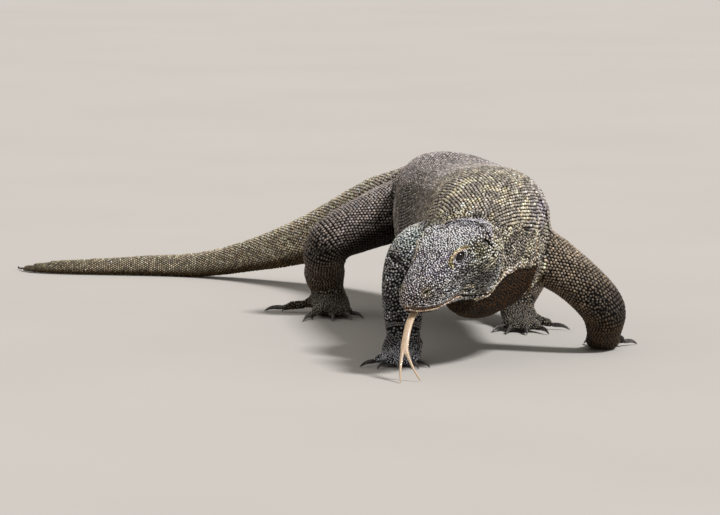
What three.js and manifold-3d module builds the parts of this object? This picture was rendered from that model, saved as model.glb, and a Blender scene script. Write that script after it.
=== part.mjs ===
// A Komodo dragon (Varanus komodoensis) as a still, life-size model: walking, head turned to its right and
// lowered, tongue out, tail laid on the ground to its right.
// Millimetres, +Z up. The animal walks towards -Y, so its right side is at -X. The origin is on the ground,
// below the middle of the whole model.
//
// Every fleshy part is a cylinder bent along a curve. Its rows are
//   [x, y, z, half width, height above the line, depth below it]
// and the sections between the rows are interpolated.

import * as THREE from "three";
import { mergeVertices } from "three/addons/utils/BufferGeometryUtils.js";
import Module from "manifold-3d";

const wasm = await Module();
wasm.setup();

// ---------------------------------------------------------------- sizes

const GAP = 0.4; // clearance between neighbouring pieces
const EYE_RADIUS = 8.5;
const MOUTH_GAP = 0.5; // thickness of the cut between the jaws
const DOME_RINGS = [72, 40]; // degrees round a domed end, from its tip

const UP = new THREE.Vector3(0, 0, 1);
const RIGHT = -1; // the animal's right, -X
const LEFT = 1;

// The head's own frame: x forward along the skull, y to the animal's left, z out of the skull roof.
const HEAD = {
  occiput: new THREE.Vector3(5, -164, 188),
  yaw: 32.4, // degrees turned to the right of straight ahead
  pitch: 25, // degrees below the horizon
  roll: 2, // degrees, left side down
};

// Rows along the skull: x, y and z in the head's frame, then the section's sizes.
const SKULL = [
  [2, 0, 0, 52, 32, 60],
  [30, 0, 0, 59, 36, 70],
  [62, 0, 0, 56, 38, 67],
  [98, 0, 0, 45, 37, 51],
  [136, 0, 0, 36, 29, 38],
  [162, 0, 0, 31, 24, 32],
  [180, 0, 0, 25, 19, 24],
  [190, 0, -1, 18, 14, 15],
];

const EYE = { x: 95, y: 32.5, z: 25 };
const NOSTRIL = { x: 177, y: 22.5, z: 12 };
const EAR = { x: 38, y: 56, z: 2 };

// The slit between the jaws in the head's x and z, from in front of the snout to below the cheek.
const MOUTH = [
  [208, -5],
  [190, -11],
  [174, -18],
  [154, -23.5],
  [134, -27],
  [116, -28],
  [98, -36],
  [80, -46],
  [56, -78],
];

// Spine: from inside the skull through neck, trunk and hips to the tip of the tail.
const SPINE = [
  [-22, -226, 152, 32, 16, 76],
  [-8, -188, 164, 46, 30, 96],
  [5, -142, 172, 58, 50, 108],
  [16, -92, 174, 70, 74, 108],
  [27, -40, 174, 84, 93, 104],
  [31, 30, 172, 96, 104, 96],
  [18, 130, 172, 98, 98, 94],
  [4, 250, 172, 106, 92, 97],
  [-6, 370, 171, 103, 91, 93],
  [-17, 470, 169, 90, 92, 78],
  [-28, 560, 166, 78, 90, 66],
  [-42, 640, 162, 62, 80, 60],
  [-74, 724, 154, 53, 65, 55],
  [-124, 812, 139, 46, 57, 51],
  [-190, 892, 107, 39, 45, 44],
  [-262, 958, 72, 32, 37, 38],
  [-345, 1032, 43, 25, 26, 28],
  [-431, 1085, 22, 19.5, 20.5, 22],
  [-510, 1108, 18, 16, 18.5, 18.4],
  [-601, 1122, 14.8, 13, 14.5, 15.2],
  [-672, 1136, 12.4, 10.8, 12.5, 12.8],
  [-716, 1156, 9, 7.6, 8.6, 9.4],
  [-738, 1184, 5.6, 4.6, 5, 6],
  [-748, 1214, 3.4, 2.4, 2.4, 3.8],
];

// The lengths that the spine is parted into: where each ends along the rows, and how many sides it has.
const LENGTHS = [
  { name: "neck", until: 4.1, around: 20 },
  { name: "trunk", until: 10.8, around: 20 },
  { name: "tail_base", until: 14.4, around: 16 },
  { name: "tail_middle", until: 17.4, around: 12 },
  { name: "tail_end", until: SPINE.length - 1, around: 8 },
];

// ---------------------------------------------------------------- limbs

// Each limb: rows from inside the body to the wrist or ankle, where the joint in the middle is parted,
// and the hand or foot that it ends in. Heading is degrees turned out from straight ahead: the left hand
// trails, its toes pointing back. A toe's angle is from that heading, and its root is how far it starts
// from the heel to the knuckles.
const LIMBS = {
  right_arm: {
    side: RIGHT,
    pieces: ["upper_arm", "forearm", "hand"],
    rows: [
      [-12, 32, 158, 44, 40, 46],
      [-54, 4, 160, 42, 38, 46],
      [-80, -40, 154, 36, 34, 40],
      [-93, -78, 136, 33, 33, 34],
      [-97, -94, 106, 32, 32, 32],
      [-97, -104, 76, 30, 28, 28],
      [-96, -112, 48, 28, 23, 23],
    ],
    middleCut: 3.3,
    foot: { heel: [-96, -108, 29], knuckles: [-100, -150, 13], width: 32, depth: 17, heading: 8 },
    toes: [
      { angle: -42, length: 22, thick: 9 },
      { angle: -24, length: 36, thick: 9.5 },
      { angle: -4, length: 40, thick: 9.5 },
      { angle: 16, length: 38, thick: 9.5 },
      { angle: 40, length: 32, thick: 9 },
    ],
  },
  left_arm: {
    side: LEFT,
    pieces: ["upper_arm", "forearm", "hand"],
    rows: [
      [56, 32, 160, 46, 46, 46],
      [104, 20, 146, 42, 44, 44],
      [150, 4, 119, 36, 37, 38],
      [184, -8, 90, 35, 35, 36],
      [203, -8, 64, 34.5, 34, 34],
      [205, 0, 44, 30, 29, 29],
      [204, 10, 30, 27, 24, 24],
    ],
    middleCut: 2.9,
    foot: { heel: [204, 12, 24], knuckles: [205, 52, 12], width: 28, depth: 16, heading: 178 },
    toes: [
      { angle: 24, length: 22, thick: 9 },
      { angle: 10, length: 34, thick: 9.5 },
      { angle: -4, length: 38, thick: 9.5 },
      { angle: -18, length: 36, thick: 9.5 },
      { angle: -42, length: 30, thick: 9 },
    ],
  },
  right_leg: {
    side: RIGHT,
    pieces: ["thigh", "shank", "foot"],
    rows: [
      [-40, 570, 170, 54, 64, 60],
      [-92, 540, 165, 48, 57, 56],
      [-150, 506, 147, 42, 46, 48],
      [-208, 486, 118, 37, 38, 38],
      [-217, 502, 86, 34, 35, 36],
      [-215, 525, 58, 33, 31, 32],
      [-211, 542, 40, 30, 25, 26],
    ],
    middleCut: 2.85,
    foot: { heel: [-210, 550, 26], knuckles: [-204, 482, 14], width: 32, depth: 18, heading: -4 },
    toes: [
      { angle: -38, length: 26, thick: 9.5 },
      { angle: -18, length: 38, thick: 10 },
      { angle: 2, length: 46, thick: 10 },
      { angle: 28, length: 56, thick: 10 },
      { angle: 106, length: 56, thick: 9.5, root: 0 },
    ],
  },
  left_leg: {
    side: LEFT,
    pieces: ["thigh", "shank", "foot"],
    rows: [
      [0, 574, 168, 54, 62, 60],
      [48, 542, 162, 48, 55, 56],
      [92, 490, 146, 42, 45, 46],
      [114, 436, 118, 36, 36, 37],
      [110, 400, 88, 32, 33, 34],
      [97, 370, 60, 28, 27, 28],
      [87, 350, 42, 26, 22, 23],
    ],
    middleCut: 2.9,
    foot: { heel: [84, 356, 26], knuckles: [92, 296, 13], width: 30, depth: 18, heading: 0 },
    toes: [
      { angle: -38, length: 26, thick: 9.5 },
      { angle: -16, length: 40, thick: 10 },
      { angle: 4, length: 48, thick: 10 },
      { angle: 24, length: 50, thick: 10 },
      { angle: 66, length: 34, thick: 9.5, root: 0.3 },
    ],
  },
};

// The tongue, from inside the mouth to its fork, and its two tines.
const TONGUE = {
  stem: [
    [-76, -288, 98, 5.5, 2.6, 2.6],
    [-86, -304, 89, 6, 2.6, 2.6],
    [-92, -322, 72, 6, 2.4, 2.4],
    [-96, -336, 52, 6, 2.2, 2.2],
    [-97, -343, 40, 5.6, 2, 2],
  ],
  tines: [
    [
      [-99.5, -342, 43, 2.8, 1.8, 1.8],
      [-102, -352, 26, 2.3, 1.5, 1.5],
      [-103, -366, 10, 1.6, 1.2, 1.2],
      [-102, -380, 2.2, 1, 1, 1],
    ],
    [
      [-94.5, -342, 43, 2.8, 1.8, 1.8],
      [-89, -348, 28, 2.3, 1.5, 1.5],
      [-81, -356, 12, 1.6, 1.2, 1.2],
      [-74, -364, 2.4, 1, 1, 1],
    ],
  ],
};

// ---------------------------------------------------------------- solids

const vector = ([x, y, z]) => new THREE.Vector3(x, y, z);

// A closed geometry as a solid that can be joined and cut.
function solidOf(geometry) {
  const bare = new THREE.BufferGeometry()
    .setAttribute("position", geometry.getAttribute("position"))
    .setIndex(geometry.index);
  const merged = mergeVertices(bare, 1e-3);
  const corners = merged.index.array;
  const kept = [];
  for (let i = 0; i < corners.length; i += 3) {
    const [a, b, c] = corners.slice(i, i + 3);
    if (a !== b && b !== c && a !== c) kept.push(a, b, c);
  }
  return new wasm.Manifold(
    new wasm.Mesh({
      numProp: 3,
      vertProperties: merged.attributes.position.array,
      triVerts: new Uint32Array(kept),
    }),
  );
}

function geometryOf(solid) {
  const mesh = solid.getMesh();
  const geometry = new THREE.BufferGeometry();
  geometry.setAttribute("position", new THREE.BufferAttribute(mesh.vertProperties, 3));
  geometry.setIndex(new THREE.BufferAttribute(mesh.triVerts, 1));
  geometry.computeVertexNormals();
  return geometry;
}

// A cylinder bent through the sections given, closed at both ends.
// Each section is { centre, side, top, wide, above, below }; boxy over 2 squares its corners.
function bentCylinder(sections, around, boxy) {
  const geometry = new THREE.CylinderGeometry(1, 1, 1, around, sections.length - 1);
  const place = geometry.getAttribute("position");
  const squared = (v) => Math.sign(v) * Math.abs(v) ** (2 / boxy);
  for (let i = 0; i < place.count; i++) {
    const s = sections[Math.round((place.getY(i) + 0.5) * (sections.length - 1))];
    const height = place.getZ(i) > 0 ? s.above : s.below;
    const point = s.centre
      .clone()
      .addScaledVector(s.side, s.wide * squared(place.getX(i)))
      .addScaledVector(s.top, height * squared(place.getZ(i)));
    place.setXYZ(i, point.x, point.y, point.z);
  }
  return geometry;
}

// The part's section at a place along its rows, where 2.5 is halfway from the third row to the fourth.
function sectionAt(rows, place, towards, grow = 0) {
  const line = new THREE.CatmullRomCurve3(rows.map((r) => vector(r)));
  const sizes = new THREE.CatmullRomCurve3(rows.map((r) => vector(r.slice(3))), false, "catmullrom", 0.5);
  const t = place / (rows.length - 1);
  const along = line.getTangent(t);
  const side = new THREE.Vector3().crossVectors(along, towards).normalize();
  const size = sizes.getPoint(t);
  return {
    centre: line.getPoint(t),
    along,
    side,
    top: new THREE.Vector3().crossVectors(side, along),
    wide: size.x + grow,
    above: size.y + grow,
    below: size.z + grow,
  };
}

// A fleshy part along its rows, or between two places along them. A domed end swells on by a share of its
// half width; an end with no dome is flat, and stands half a gap back from its place.
function flesh(rows, spec) {
  const { around, steps = 2, towards = UP, domes = [0.6, 0.6], boxy = 2, grow = 0 } = spec;
  const { from = 0, until = rows.length - 1 } = spec;
  const end = (place, share, direction) => {
    if (!share) {
      const row = Math.min(Math.floor(place), rows.length - 2);
      const spacing = vector(rows[row]).distanceTo(vector(rows[row + 1]));
      return [sectionAt(rows, place - (direction * GAP) / 2 / spacing, towards, grow)];
    }
    const rings = DOME_RINGS.map((degrees) => {
      const s = sectionAt(rows, place, towards, grow);
      const angle = THREE.MathUtils.degToRad(degrees);
      s.centre.addScaledVector(s.along, direction * share * s.wide * Math.sin(angle));
      for (const size of ["wide", "above", "below"]) s[size] *= Math.cos(angle);
      return s;
    });
    return [...rings, sectionAt(rows, place, towards, grow)];
  };
  const inner = [];
  for (let i = Math.floor(from * steps) + 1; i < until * steps - 0.2; i++) {
    inner.push(sectionAt(rows, i / steps, towards, grow));
  }
  const sections = [...end(from, domes[0], -1), ...inner, ...end(until, domes[1], 1).reverse()];
  return solidOf(bentCylinder(sections, around, boxy));
}

// A thin disc that parts a piece at right angles to its line.
function disc({ centre, along }, radius, thick = GAP) {
  const geometry = new THREE.CylinderGeometry(radius, radius, thick, 24);
  geometry.applyQuaternion(new THREE.Quaternion().setFromUnitVectors(new THREE.Vector3(0, 1, 0), along));
  geometry.translate(centre.x, centre.y, centre.z);
  return solidOf(geometry);
}

const middleOf = (solid) => {
  const { min, max } = solid.boundingBox();
  return vector(min).add(vector(max)).multiplyScalar(0.5);
};

const largest = (solid) => solid.decompose().sort((a, b) => b.volume() - a.volume())[0];

// The separate body of a cut solid that lies nearest to a point.
function bodyNear(solid, point) {
  const near = (body) => middleOf(body).distanceTo(point);
  return solid
    .decompose()
    .filter((body) => body.volume() > 500)
    .sort((a, b) => near(a) - near(b))[0];
}

// All that lies below the ground, so that what rests there is flat.
function belowGround() {
  const depth = 100;
  const slab = new THREE.BoxGeometry(4000, 4000, depth);
  slab.translate(0, 500, -depth / 2);
  return solidOf(slab);
}
const GROUND = belowGround();

// ---------------------------------------------------------------- head

const headFrame = new THREE.Matrix4()
  .makeTranslation(HEAD.occiput.x, HEAD.occiput.y, HEAD.occiput.z)
  .multiply(
    new THREE.Matrix4().makeRotationZ(THREE.MathUtils.degToRad(-90 - HEAD.yaw)),
  )
  .multiply(new THREE.Matrix4().makeRotationY(THREE.MathUtils.degToRad(HEAD.pitch)))
  .multiply(new THREE.Matrix4().makeRotationX(THREE.MathUtils.degToRad(-HEAD.roll)));

const inHead = (x, y, z) => new THREE.Vector3(x, y, z).applyMatrix4(headFrame);

function ellipsoid(at, radii, turn = 0, around = 8) {
  const geometry = new THREE.SphereGeometry(1, around, Math.ceil(around * 0.7));
  geometry.scale(...radii);
  geometry.rotateZ(THREE.MathUtils.degToRad(turn));
  geometry.translate(...at);
  return solidOf(geometry.applyMatrix4(headFrame));
}

function skull(grow = 0) {
  const rows = SKULL.map((r) => [...inHead(...r), ...r.slice(3)]);
  const roof = inHead(0, 0, 1).sub(inHead(0, 0, 0));
  let solid = flesh(rows, { around: 18, steps: 1, towards: roof, domes: [0.4, 0.55], boxy: 2.5, grow });
  for (const side of [RIGHT, LEFT]) {
    const brow = [EYE.x - 4, side * (EYE.y + 0.5), EYE.z + 6];
    const temple = [EYE.x - 39, side * (EYE.y + 7), EYE.z + 3];
    solid = solid
      .add(ellipsoid(brow, [20 + grow, 9.5 + grow, 7.5 + grow], 0, 8))
      .add(ellipsoid(temple, [42 + grow, 13 + grow, 10 + grow], side * -5, 8));
  }
  return solid;
}

// The slit between the jaws, as a thin curved sheet across the whole head.
function mouthSlit() {
  const line = new THREE.SplineCurve(MOUTH.map(([x, z]) => new THREE.Vector2(x, z)));
  const steps = 10;
  const sheet = new THREE.BoxGeometry(1, MOUTH_GAP, 150, steps, 1, 1);
  const place = sheet.getAttribute("position");
  for (let i = 0; i < place.count; i++) {
    const t = 0.5 - place.getX(i);
    const at = line.getPoint(t);
    const along = line.getTangent(t);
    const lift = place.getY(i);
    const corner = inHead(at.x + along.y * lift, -place.getZ(i), at.y - along.x * lift);
    place.setXYZ(i, corner.x, corner.y, corner.z);
  }
  return solidOf(sheet);
}

function tongue(grow = 0) {
  const ahead = new THREE.Vector3(0, -0.7, 0.7);
  const shape = { around: 6, steps: 1, towards: ahead, domes: [0.3, 0.5], grow };
  return TONGUE.tines
    .map((rows) => flesh(rows, { ...shape, around: 5 }))
    .reduce((all, tine) => all.add(tine), flesh(TONGUE.stem, shape));
}

// ---------------------------------------------------------------- hands and feet

// Points straight ahead turned out by degrees on a side of the body.
function facing(side, degrees) {
  const angle = THREE.MathUtils.degToRad(degrees);
  return new THREE.Vector3(side * Math.sin(angle), -Math.cos(angle), 0);
}

const TOE_TIP = 0.62; // the tip's thickness as a share of the toe's own
const CLAW_LENGTH = 27;
const CLAW_SHAPE = { around: 5, steps: 1, domes: [0, 0] };

// Rows of one toe: out of the hand, up over the joint and down to the pad at the tip.
function toeRows(foot, side, toe) {
  const out = facing(side, foot.heading + toe.angle);
  const root = vector(foot.heel).lerp(vector(foot.knuckles), toe.root === undefined ? 0.72 : toe.root + 0.3);
  const r = toe.thick;
  const sizes = [
    [0, r * 1.25, r, 1.05],
    [foot.width * 0.75 + toe.length * 0.15, r * 1.6, r, 1],
    [foot.width * 0.75 + toe.length * 0.68, r * 1.15, r * 0.9, 0.92],
    [foot.width * 0.75 + toe.length, r * 0.5, r * TOE_TIP, TOE_TIP],
  ];
  return sizes.map(([reach, height, wide, share]) => {
    const at = root.clone().setZ(0).addScaledVector(out, reach);
    return [at.x, at.y, height, wide, r * share, r * share];
  });
}

// Rows of the claw that carries on from a toe, hooked down to the ground.
function clawRows(toe) {
  const tip = vector(toe[toe.length - 1]);
  const out = tip.clone().sub(vector(toe[toe.length - 2])).setZ(0).normalize();
  const r = toe[toe.length - 1][3];
  const shape = [
    [GAP + 0.6, 1.4, 0.62, 0.8],
    [0.32 * CLAW_LENGTH, 3, 0.5, 0.72],
    [0.68 * CLAW_LENGTH, 1.6, 0.34, 0.5],
    [CLAW_LENGTH, -3.6, 0.1, 0.14],
  ];
  return shape.map(([reach, lift, wide, high]) => {
    const at = tip.clone().addScaledVector(out, reach);
    return [at.x, at.y, tip.z + lift, r * wide, r * high, r * high];
  });
}

function limb(name, spec, body) {
  const { side, rows, foot } = spec;
  const heading = facing(side, foot.heading);
  const ahead = heading.clone().multiplyScalar(0.7).add(new THREE.Vector3(0, 0, 0.7));
  const palm = [
    [...foot.heel, foot.width * 0.94, foot.depth * 1.1, foot.depth * 1.1],
    [...vector(foot.heel).lerp(vector(foot.knuckles), 0.5), foot.width * 0.97, foot.depth, foot.depth * 1.25],
    [...foot.knuckles, foot.width, foot.depth * 0.75, foot.depth],
  ];
  const toes = spec.toes.map((toe) => toeRows(foot, side, toe));
  let whole = flesh(rows, { around: 12, towards: ahead, domes: [0.3, 0.5] }).add(
    flesh(palm, { around: 8, steps: 1, domes: [0.5, 0.35], boxy: 2.4 }),
  );
  for (const toe of toes) whole = whole.add(flesh(toe, { around: 5, steps: 1, domes: [0, 0] }));
  const last = rows.length - 1;
  const sole = vector(foot.heel).lerp(vector(foot.knuckles), 0.5);
  const before = vector(rows[last - 1]);
  const wrist = {
    centre: before.clone().lerp(vector(rows[last]), 0.5),
    along: sole.sub(before).normalize(),
  };
  const elbow = sectionAt(rows, spec.middleCut, ahead);
  const grown = toes.map((toe) => flesh(clawRows(toe), { ...CLAW_SHAPE, grow: GAP }));
  for (const claw of grown) whole = whole.subtract(claw);
  const parted = whole.subtract(body).subtract(GROUND).subtract(disc(elbow, 62)).subtract(disc(wrist, 60));
  const near = [vector(rows[2]), vector(rows[4]), vector(foot.knuckles)];
  const made = spec.pieces.map((piece, i) => [`${name.split("_")[0]}_${piece}`, bodyNear(parted, near[i])]);
  toes.forEach((toe, i) => {
    const claw = flesh(clawRows(toe), CLAW_SHAPE);
    made.push([`${name.split("_")[0]}_${spec.pieces[2]}_claw_${i + 1}`, claw.subtract(GROUND)]);
  });
  return made;
}

// ---------------------------------------------------------------- the animal

const SPINE_SHAPE = { steps: 2, boxy: 2.5 };

function pieces() {
  const made = [];
  const head = skull();
  const slit = mouthSlit();
  const pocket = tongue(GAP);
  let bored = head.subtract(pocket);
  for (const side of [RIGHT, LEFT]) {
    const at = [EYE.x, side * EYE.y, EYE.z];
    const r = EYE_RADIUS;
    bored = bored
      .subtract(ellipsoid(at, [r + GAP, r + GAP, r + GAP], 0, 10))
      .subtract(ellipsoid([EYE.x + 4, side * (EYE.y + 7), EYE.z + 2.5], [9.5, 8.5, 7.5], 0, 8))
      .subtract(ellipsoid([NOSTRIL.x, side * NOSTRIL.y, NOSTRIL.z], [5, 5, 3], side * -30, 6))
      .subtract(ellipsoid([EAR.x, side * EAR.y, EAR.z], [3.5, 5, 9], 0, 6));
    made.push([side === LEFT ? "left_eye" : "right_eye", ellipsoid(at, [r, r, r], 0, 10)]);
  }
  const jaws = bored
    .subtract(slit)
    .decompose()
    .sort((a, b) => b.volume() - a.volume());
  made.push(["head", jaws[0]], ["lower_jaw", jaws[1]], ["tongue", tongue()]);

  const grownHead = skull(GAP);
  let from = 0;
  for (const { name, until, around } of LENGTHS) {
    const domes = [from ? 0 : 0.4, until < SPINE.length - 1 ? 0 : 1];
    let length = flesh(SPINE, { ...SPINE_SHAPE, around, from, until, domes }).subtract(GROUND);
    if (name === "neck") length = largest(length.subtract(grownHead));
    made.push([name, length]);
    from = until;
  }

  const bulk = flesh(SPINE, { ...SPINE_SHAPE, around: 20, domes: [0.4, 1], grow: GAP });
  for (const [name, spec] of Object.entries(LIMBS)) made.push(...limb(name, spec, bulk));
  return made;
}

// ---------------------------------------------------------------- scene graph

const SKIN = new THREE.MeshStandardMaterial({ color: 0x5d564e, roughness: 0.75, metalness: 0 });
const CLAW = new THREE.MeshStandardMaterial({ color: 0x3a3b40, roughness: 0.4, metalness: 0 });
const EYEBALL = new THREE.MeshStandardMaterial({ color: 0x1c130c, roughness: 0.08, metalness: 0 });
const PALE = new THREE.MeshStandardMaterial({ color: 0xd2b48c, roughness: 0.5, metalness: 0 });

const finishOf = (name) => {
  if (name.includes("claw")) return CLAW;
  if (name.endsWith("eye")) return EYEBALL;
  return name === "tongue" ? PALE : SKIN;
};

const dragon = new THREE.Group();
for (const [name, solid] of pieces()) {
  const mesh = new THREE.Mesh(geometryOf(solid), finishOf(name).clone());
  mesh.name = name;
  dragon.add(mesh);
}

// The origin goes to the ground below the middle of the model.
const box = new THREE.Box3().setFromObject(dragon);
const middle = box.getCenter(new THREE.Vector3());
dragon.position.set(-middle.x, -middle.y, -box.min.z);

export default dragon;
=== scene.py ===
"""A Komodo dragon as a still, life-size model: one skin, solid scales over it, eyes, claws and tongue.

Shapes are worked out in millimetres in the animal's design frame (it walks towards -Y, its right is -X),
and go to metres in the row frame when a mesh is made.
"""

import math

import bmesh
import bpy
import numpy as np
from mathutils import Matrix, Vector
from mathutils.bvhtree import BVHTree


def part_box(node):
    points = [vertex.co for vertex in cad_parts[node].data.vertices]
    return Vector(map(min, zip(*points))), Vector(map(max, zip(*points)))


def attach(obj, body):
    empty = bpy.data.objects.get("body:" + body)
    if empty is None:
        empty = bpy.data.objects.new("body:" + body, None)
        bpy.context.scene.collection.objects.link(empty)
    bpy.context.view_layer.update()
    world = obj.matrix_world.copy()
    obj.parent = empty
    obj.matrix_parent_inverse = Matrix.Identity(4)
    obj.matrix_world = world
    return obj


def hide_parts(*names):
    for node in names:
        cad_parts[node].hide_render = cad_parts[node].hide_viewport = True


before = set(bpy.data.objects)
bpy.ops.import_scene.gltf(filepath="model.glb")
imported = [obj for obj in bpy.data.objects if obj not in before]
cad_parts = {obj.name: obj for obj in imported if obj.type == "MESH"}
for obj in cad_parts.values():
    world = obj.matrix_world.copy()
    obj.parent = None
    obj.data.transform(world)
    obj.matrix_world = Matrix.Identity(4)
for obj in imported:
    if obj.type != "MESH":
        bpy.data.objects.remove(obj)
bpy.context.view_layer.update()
rng = np.random.default_rng(7)

# ---- sizes

VOXEL = 5.6  # the skin's first mesh
GROW = 0.7  # closes the gaps between the solids before they become one skin
INSET = 0.9  # how far the skin lies inside the solids, about the scales' height
EYE = np.array([95.0, 32.5, 25.0])  # left eye's centre in the head's frame
BALL_RADIUS = 8.25
DOME = 0.55  # how far the cornea stands out
LID_RADIUS = 9.7
OPENING = (6.6, 5.4, 4.8)  # the lids' opening: half length, then height above and depth below the middle
NOSTRIL = np.array([176.0, 19.8, 11.3])
NOSTRIL_SIZE = (5.2, 2.5, 2.5)  # the same

# The head's frame: x forward along the skull, y to the animal's left, z out of the skull roof.
OCCIPUT = np.array([5.0, -164.0, 188.0])
YAW, PITCH, ROLL = 32.4, 25.0, 2.0


def turn(axis, degrees):
    """A rotation matrix about one axis."""
    c, s = math.cos(math.radians(degrees)), math.sin(math.radians(degrees))
    i, j = [(1, 2), (2, 0), (0, 1)][axis]
    m = np.eye(3)
    m[i, i] = m[j, j] = c
    m[i, j], m[j, i] = -s, s
    return m


HEAD_TURN = turn(2, -90 - YAW) @ turn(1, PITCH) @ turn(0, -ROLL)


def from_head(points):
    """Points in the head's frame, in the design frame."""
    return points @ HEAD_TURN.T + OCCIPUT


def to_head(points):
    """Points in the design frame, in the head's frame."""
    return (points - OCCIPUT) @ HEAD_TURN


low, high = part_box("left_eye")
SHIFT = (np.array(low) + np.array(high)) * 500 - from_head(EYE)


def to_row(points):
    """Design millimetres to row-frame metres."""
    return (points + SHIFT) / 1000


# ---- mesh tools

BLOCK = 20000  # points worked out at a time
FAR = 1e3  # stands for a distance past reach


def read(items, field, kind=float, wide=3):
    """A field of a mesh's items, as an array with a row for each."""
    out = np.zeros(len(items) * wide, kind)
    items.foreach_get(field, out)
    return out.reshape(-1, wide)


def placed(name, data):
    """A new object in the scene."""
    obj = bpy.data.objects.new(name, data)
    bpy.context.scene.collection.objects.link(obj)
    return obj


def lengths(vectors):
    """How long each row is."""
    return np.linalg.norm(vectors, axis=-1)


def unit(vectors):
    """Each row made one long."""
    return vectors / np.maximum(np.linalg.norm(vectors, axis=-1, keepdims=True), 1e-9)


def face_normals(verts, tris):
    """Each triangle's normal, twice its area long."""
    a, b, c = (verts[tris[:, i]] for i in range(3))
    return np.cross(b - a, c - a)


def vertex_normals(verts, tris):
    across = face_normals(verts, tris)
    out = np.zeros_like(verts)
    for corner in range(3):
        for axis in range(3):
            out[:, axis] += np.bincount(tris[:, corner], across[:, axis], len(verts))
    return unit(out)


def smoothed(verts, tris, rounds):
    """Evens out the surface without shrinking it: each round draws it in, then swells it a little more."""
    pairs = np.concatenate([tris[:, [0, 1]], tris[:, [1, 2]], tris[:, [2, 0]]])
    edges, n = np.unique(np.sort(pairs, axis=1), axis=0), len(verts)
    count = np.bincount(edges[:, 0], minlength=n) + np.bincount(edges[:, 1], minlength=n)
    for share in (0.5, -0.52) * rounds:
        total = np.zeros_like(verts)
        for axis in range(3):
            total[:, axis] = np.bincount(edges[:, 0], verts[edges[:, 1], axis], n)
            total[:, axis] += np.bincount(edges[:, 1], verts[edges[:, 0], axis], n)
        verts = verts + (total / np.maximum(count, 1)[:, None] - verts) * share
    return verts


def refined(verts, tris, chosen):
    """Splits the chosen triangles in four, and their neighbours where they meet."""
    mesh = bpy.data.meshes.new("refining")
    mesh.from_pydata(verts.tolist(), [], tris.tolist())
    bm = bmesh.new()
    bm.from_mesh(mesh)
    bm.faces.ensure_lookup_table()
    split = {e for i in np.nonzero(chosen)[0] for e in bm.faces[i].edges}
    bmesh.ops.subdivide_edges(bm, edges=list(split), cuts=1, use_grid_fill=True)
    bmesh.ops.triangulate(bm, faces=[f for f in bm.faces if len(f.verts) > 3])
    bm.to_mesh(mesh)
    bm.free()
    out = read(mesh.vertices, "co"), read(mesh.polygons, "vertices", int)
    bpy.data.meshes.remove(mesh)
    return out


def new_object(name, verts, faces, material):
    """A smooth mesh object from design millimetres."""
    mesh = bpy.data.meshes.new(name)
    mesh.from_pydata(to_row(verts).tolist(), [], faces.tolist(), shade_flat=False)
    mesh.materials.append(material)
    return placed(name, mesh)


def eased(x, start, end):
    """0 before start, rising smoothly to 1 at end."""
    t = np.clip((x - start) / (end - start), 0, 1)
    return t * t * (3 - 2 * t)


def bell(x):
    """1 at 0, fading out to both sides."""
    return np.exp(-(x**2))


def between(x, at, rows):
    """The values of a table's rows, each given at one place, at places between them."""
    return np.stack([np.interp(x, at, column) for column in np.transpose(rows)], axis=-1)


def run_along(line):
    """How far along a line each of its points is."""
    return np.concatenate([[0], np.cumsum(lengths(np.diff(line, axis=0)))])


def resampled(line, gap=1.0):
    """A polyline's points at even distances."""
    run = run_along(line)
    return between(np.linspace(0, run[-1], max(2, int(round(run[-1] / gap)) + 1)), run, line)


def gap_to(points, line, reach):
    """Each point's distance to a line of points, and the nearest one. Past reach it is not worked out."""
    gap, which = np.full(len(points), FAR), np.zeros(len(points), int)
    near = np.all((points > line.min(axis=0) - reach) & (points < line.max(axis=0) + reach), axis=1)
    index = np.nonzero(near)[0]
    for i in range(0, len(index), BLOCK):
        part = index[i : i + BLOCK]
        square = ((points[part, None] - line[None]) ** 2).sum(axis=2)
        which[part] = square.argmin(axis=1)
        gap[part] = np.sqrt(square.min(axis=1))
    return gap, which


def near(points, line, gap, every=2.0):
    """True nearer to a line than the gap."""
    return gap_to(points, resampled(line, every), gap)[0] < gap


def tinted(obj, colours):
    """Gives a mesh its colour at each vertex."""
    layer = obj.data.color_attributes.new(name="tint", type="FLOAT_COLOR", domain="POINT")
    rgba = np.column_stack([colours, np.ones(len(colours))])
    layer.data.foreach_set("color", rgba.astype(np.float32).ravel())


# ---- the skin's first shape

FLESH = [n for n in sorted(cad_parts) if not any(word in n for word in ("eye", "claw", "tongue"))]


def grown(name, by, merged=False):
    """A solid's mesh, its surface moved out. Merged, its flat triangles are joined first."""
    bm = bmesh.new()
    bm.from_mesh(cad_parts[name].data)
    bmesh.ops.remove_doubles(bm, verts=bm.verts, dist=1e-5)
    if merged:
        bmesh.ops.join_triangles(
            bm, faces=bm.faces, angle_face_threshold=0.6, angle_shape_threshold=1.2, cmp_seam=False
        )
    bm.normal_update()
    for v in bm.verts:
        v.co += v.normal * by / 1000
    return bm


def joined(names):
    """The solids as one closed mesh, each grown a little so that they run into each other."""
    bm = bmesh.new()
    for name in names:
        part = grown(name, GROW)
        mesh = bpy.data.meshes.new("grown")
        part.to_mesh(mesh)
        part.free()
        bm.from_mesh(mesh)
        bpy.data.meshes.remove(mesh)
    mesh = bpy.data.meshes.new("joined")
    bm.to_mesh(mesh)
    bm.free()
    obj = placed("joined", mesh)
    remesh = obj.modifiers.new("one", "REMESH")
    remesh.mode = "VOXEL"
    remesh.voxel_size = VOXEL / 1000
    seen = obj.evaluated_get(bpy.context.evaluated_depsgraph_get()).to_mesh()
    seen.calc_loop_triangles()
    verts, tris = read(seen.vertices, "co") * 1000 - SHIFT, read(seen.loop_triangles, "vertices", int)
    bpy.data.objects.remove(obj)
    bpy.data.meshes.remove(mesh)
    return verts, tris


verts, tris = joined(FLESH + ["left_eye", "right_eye"])
verts = smoothed(verts, tris, 6)

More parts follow.
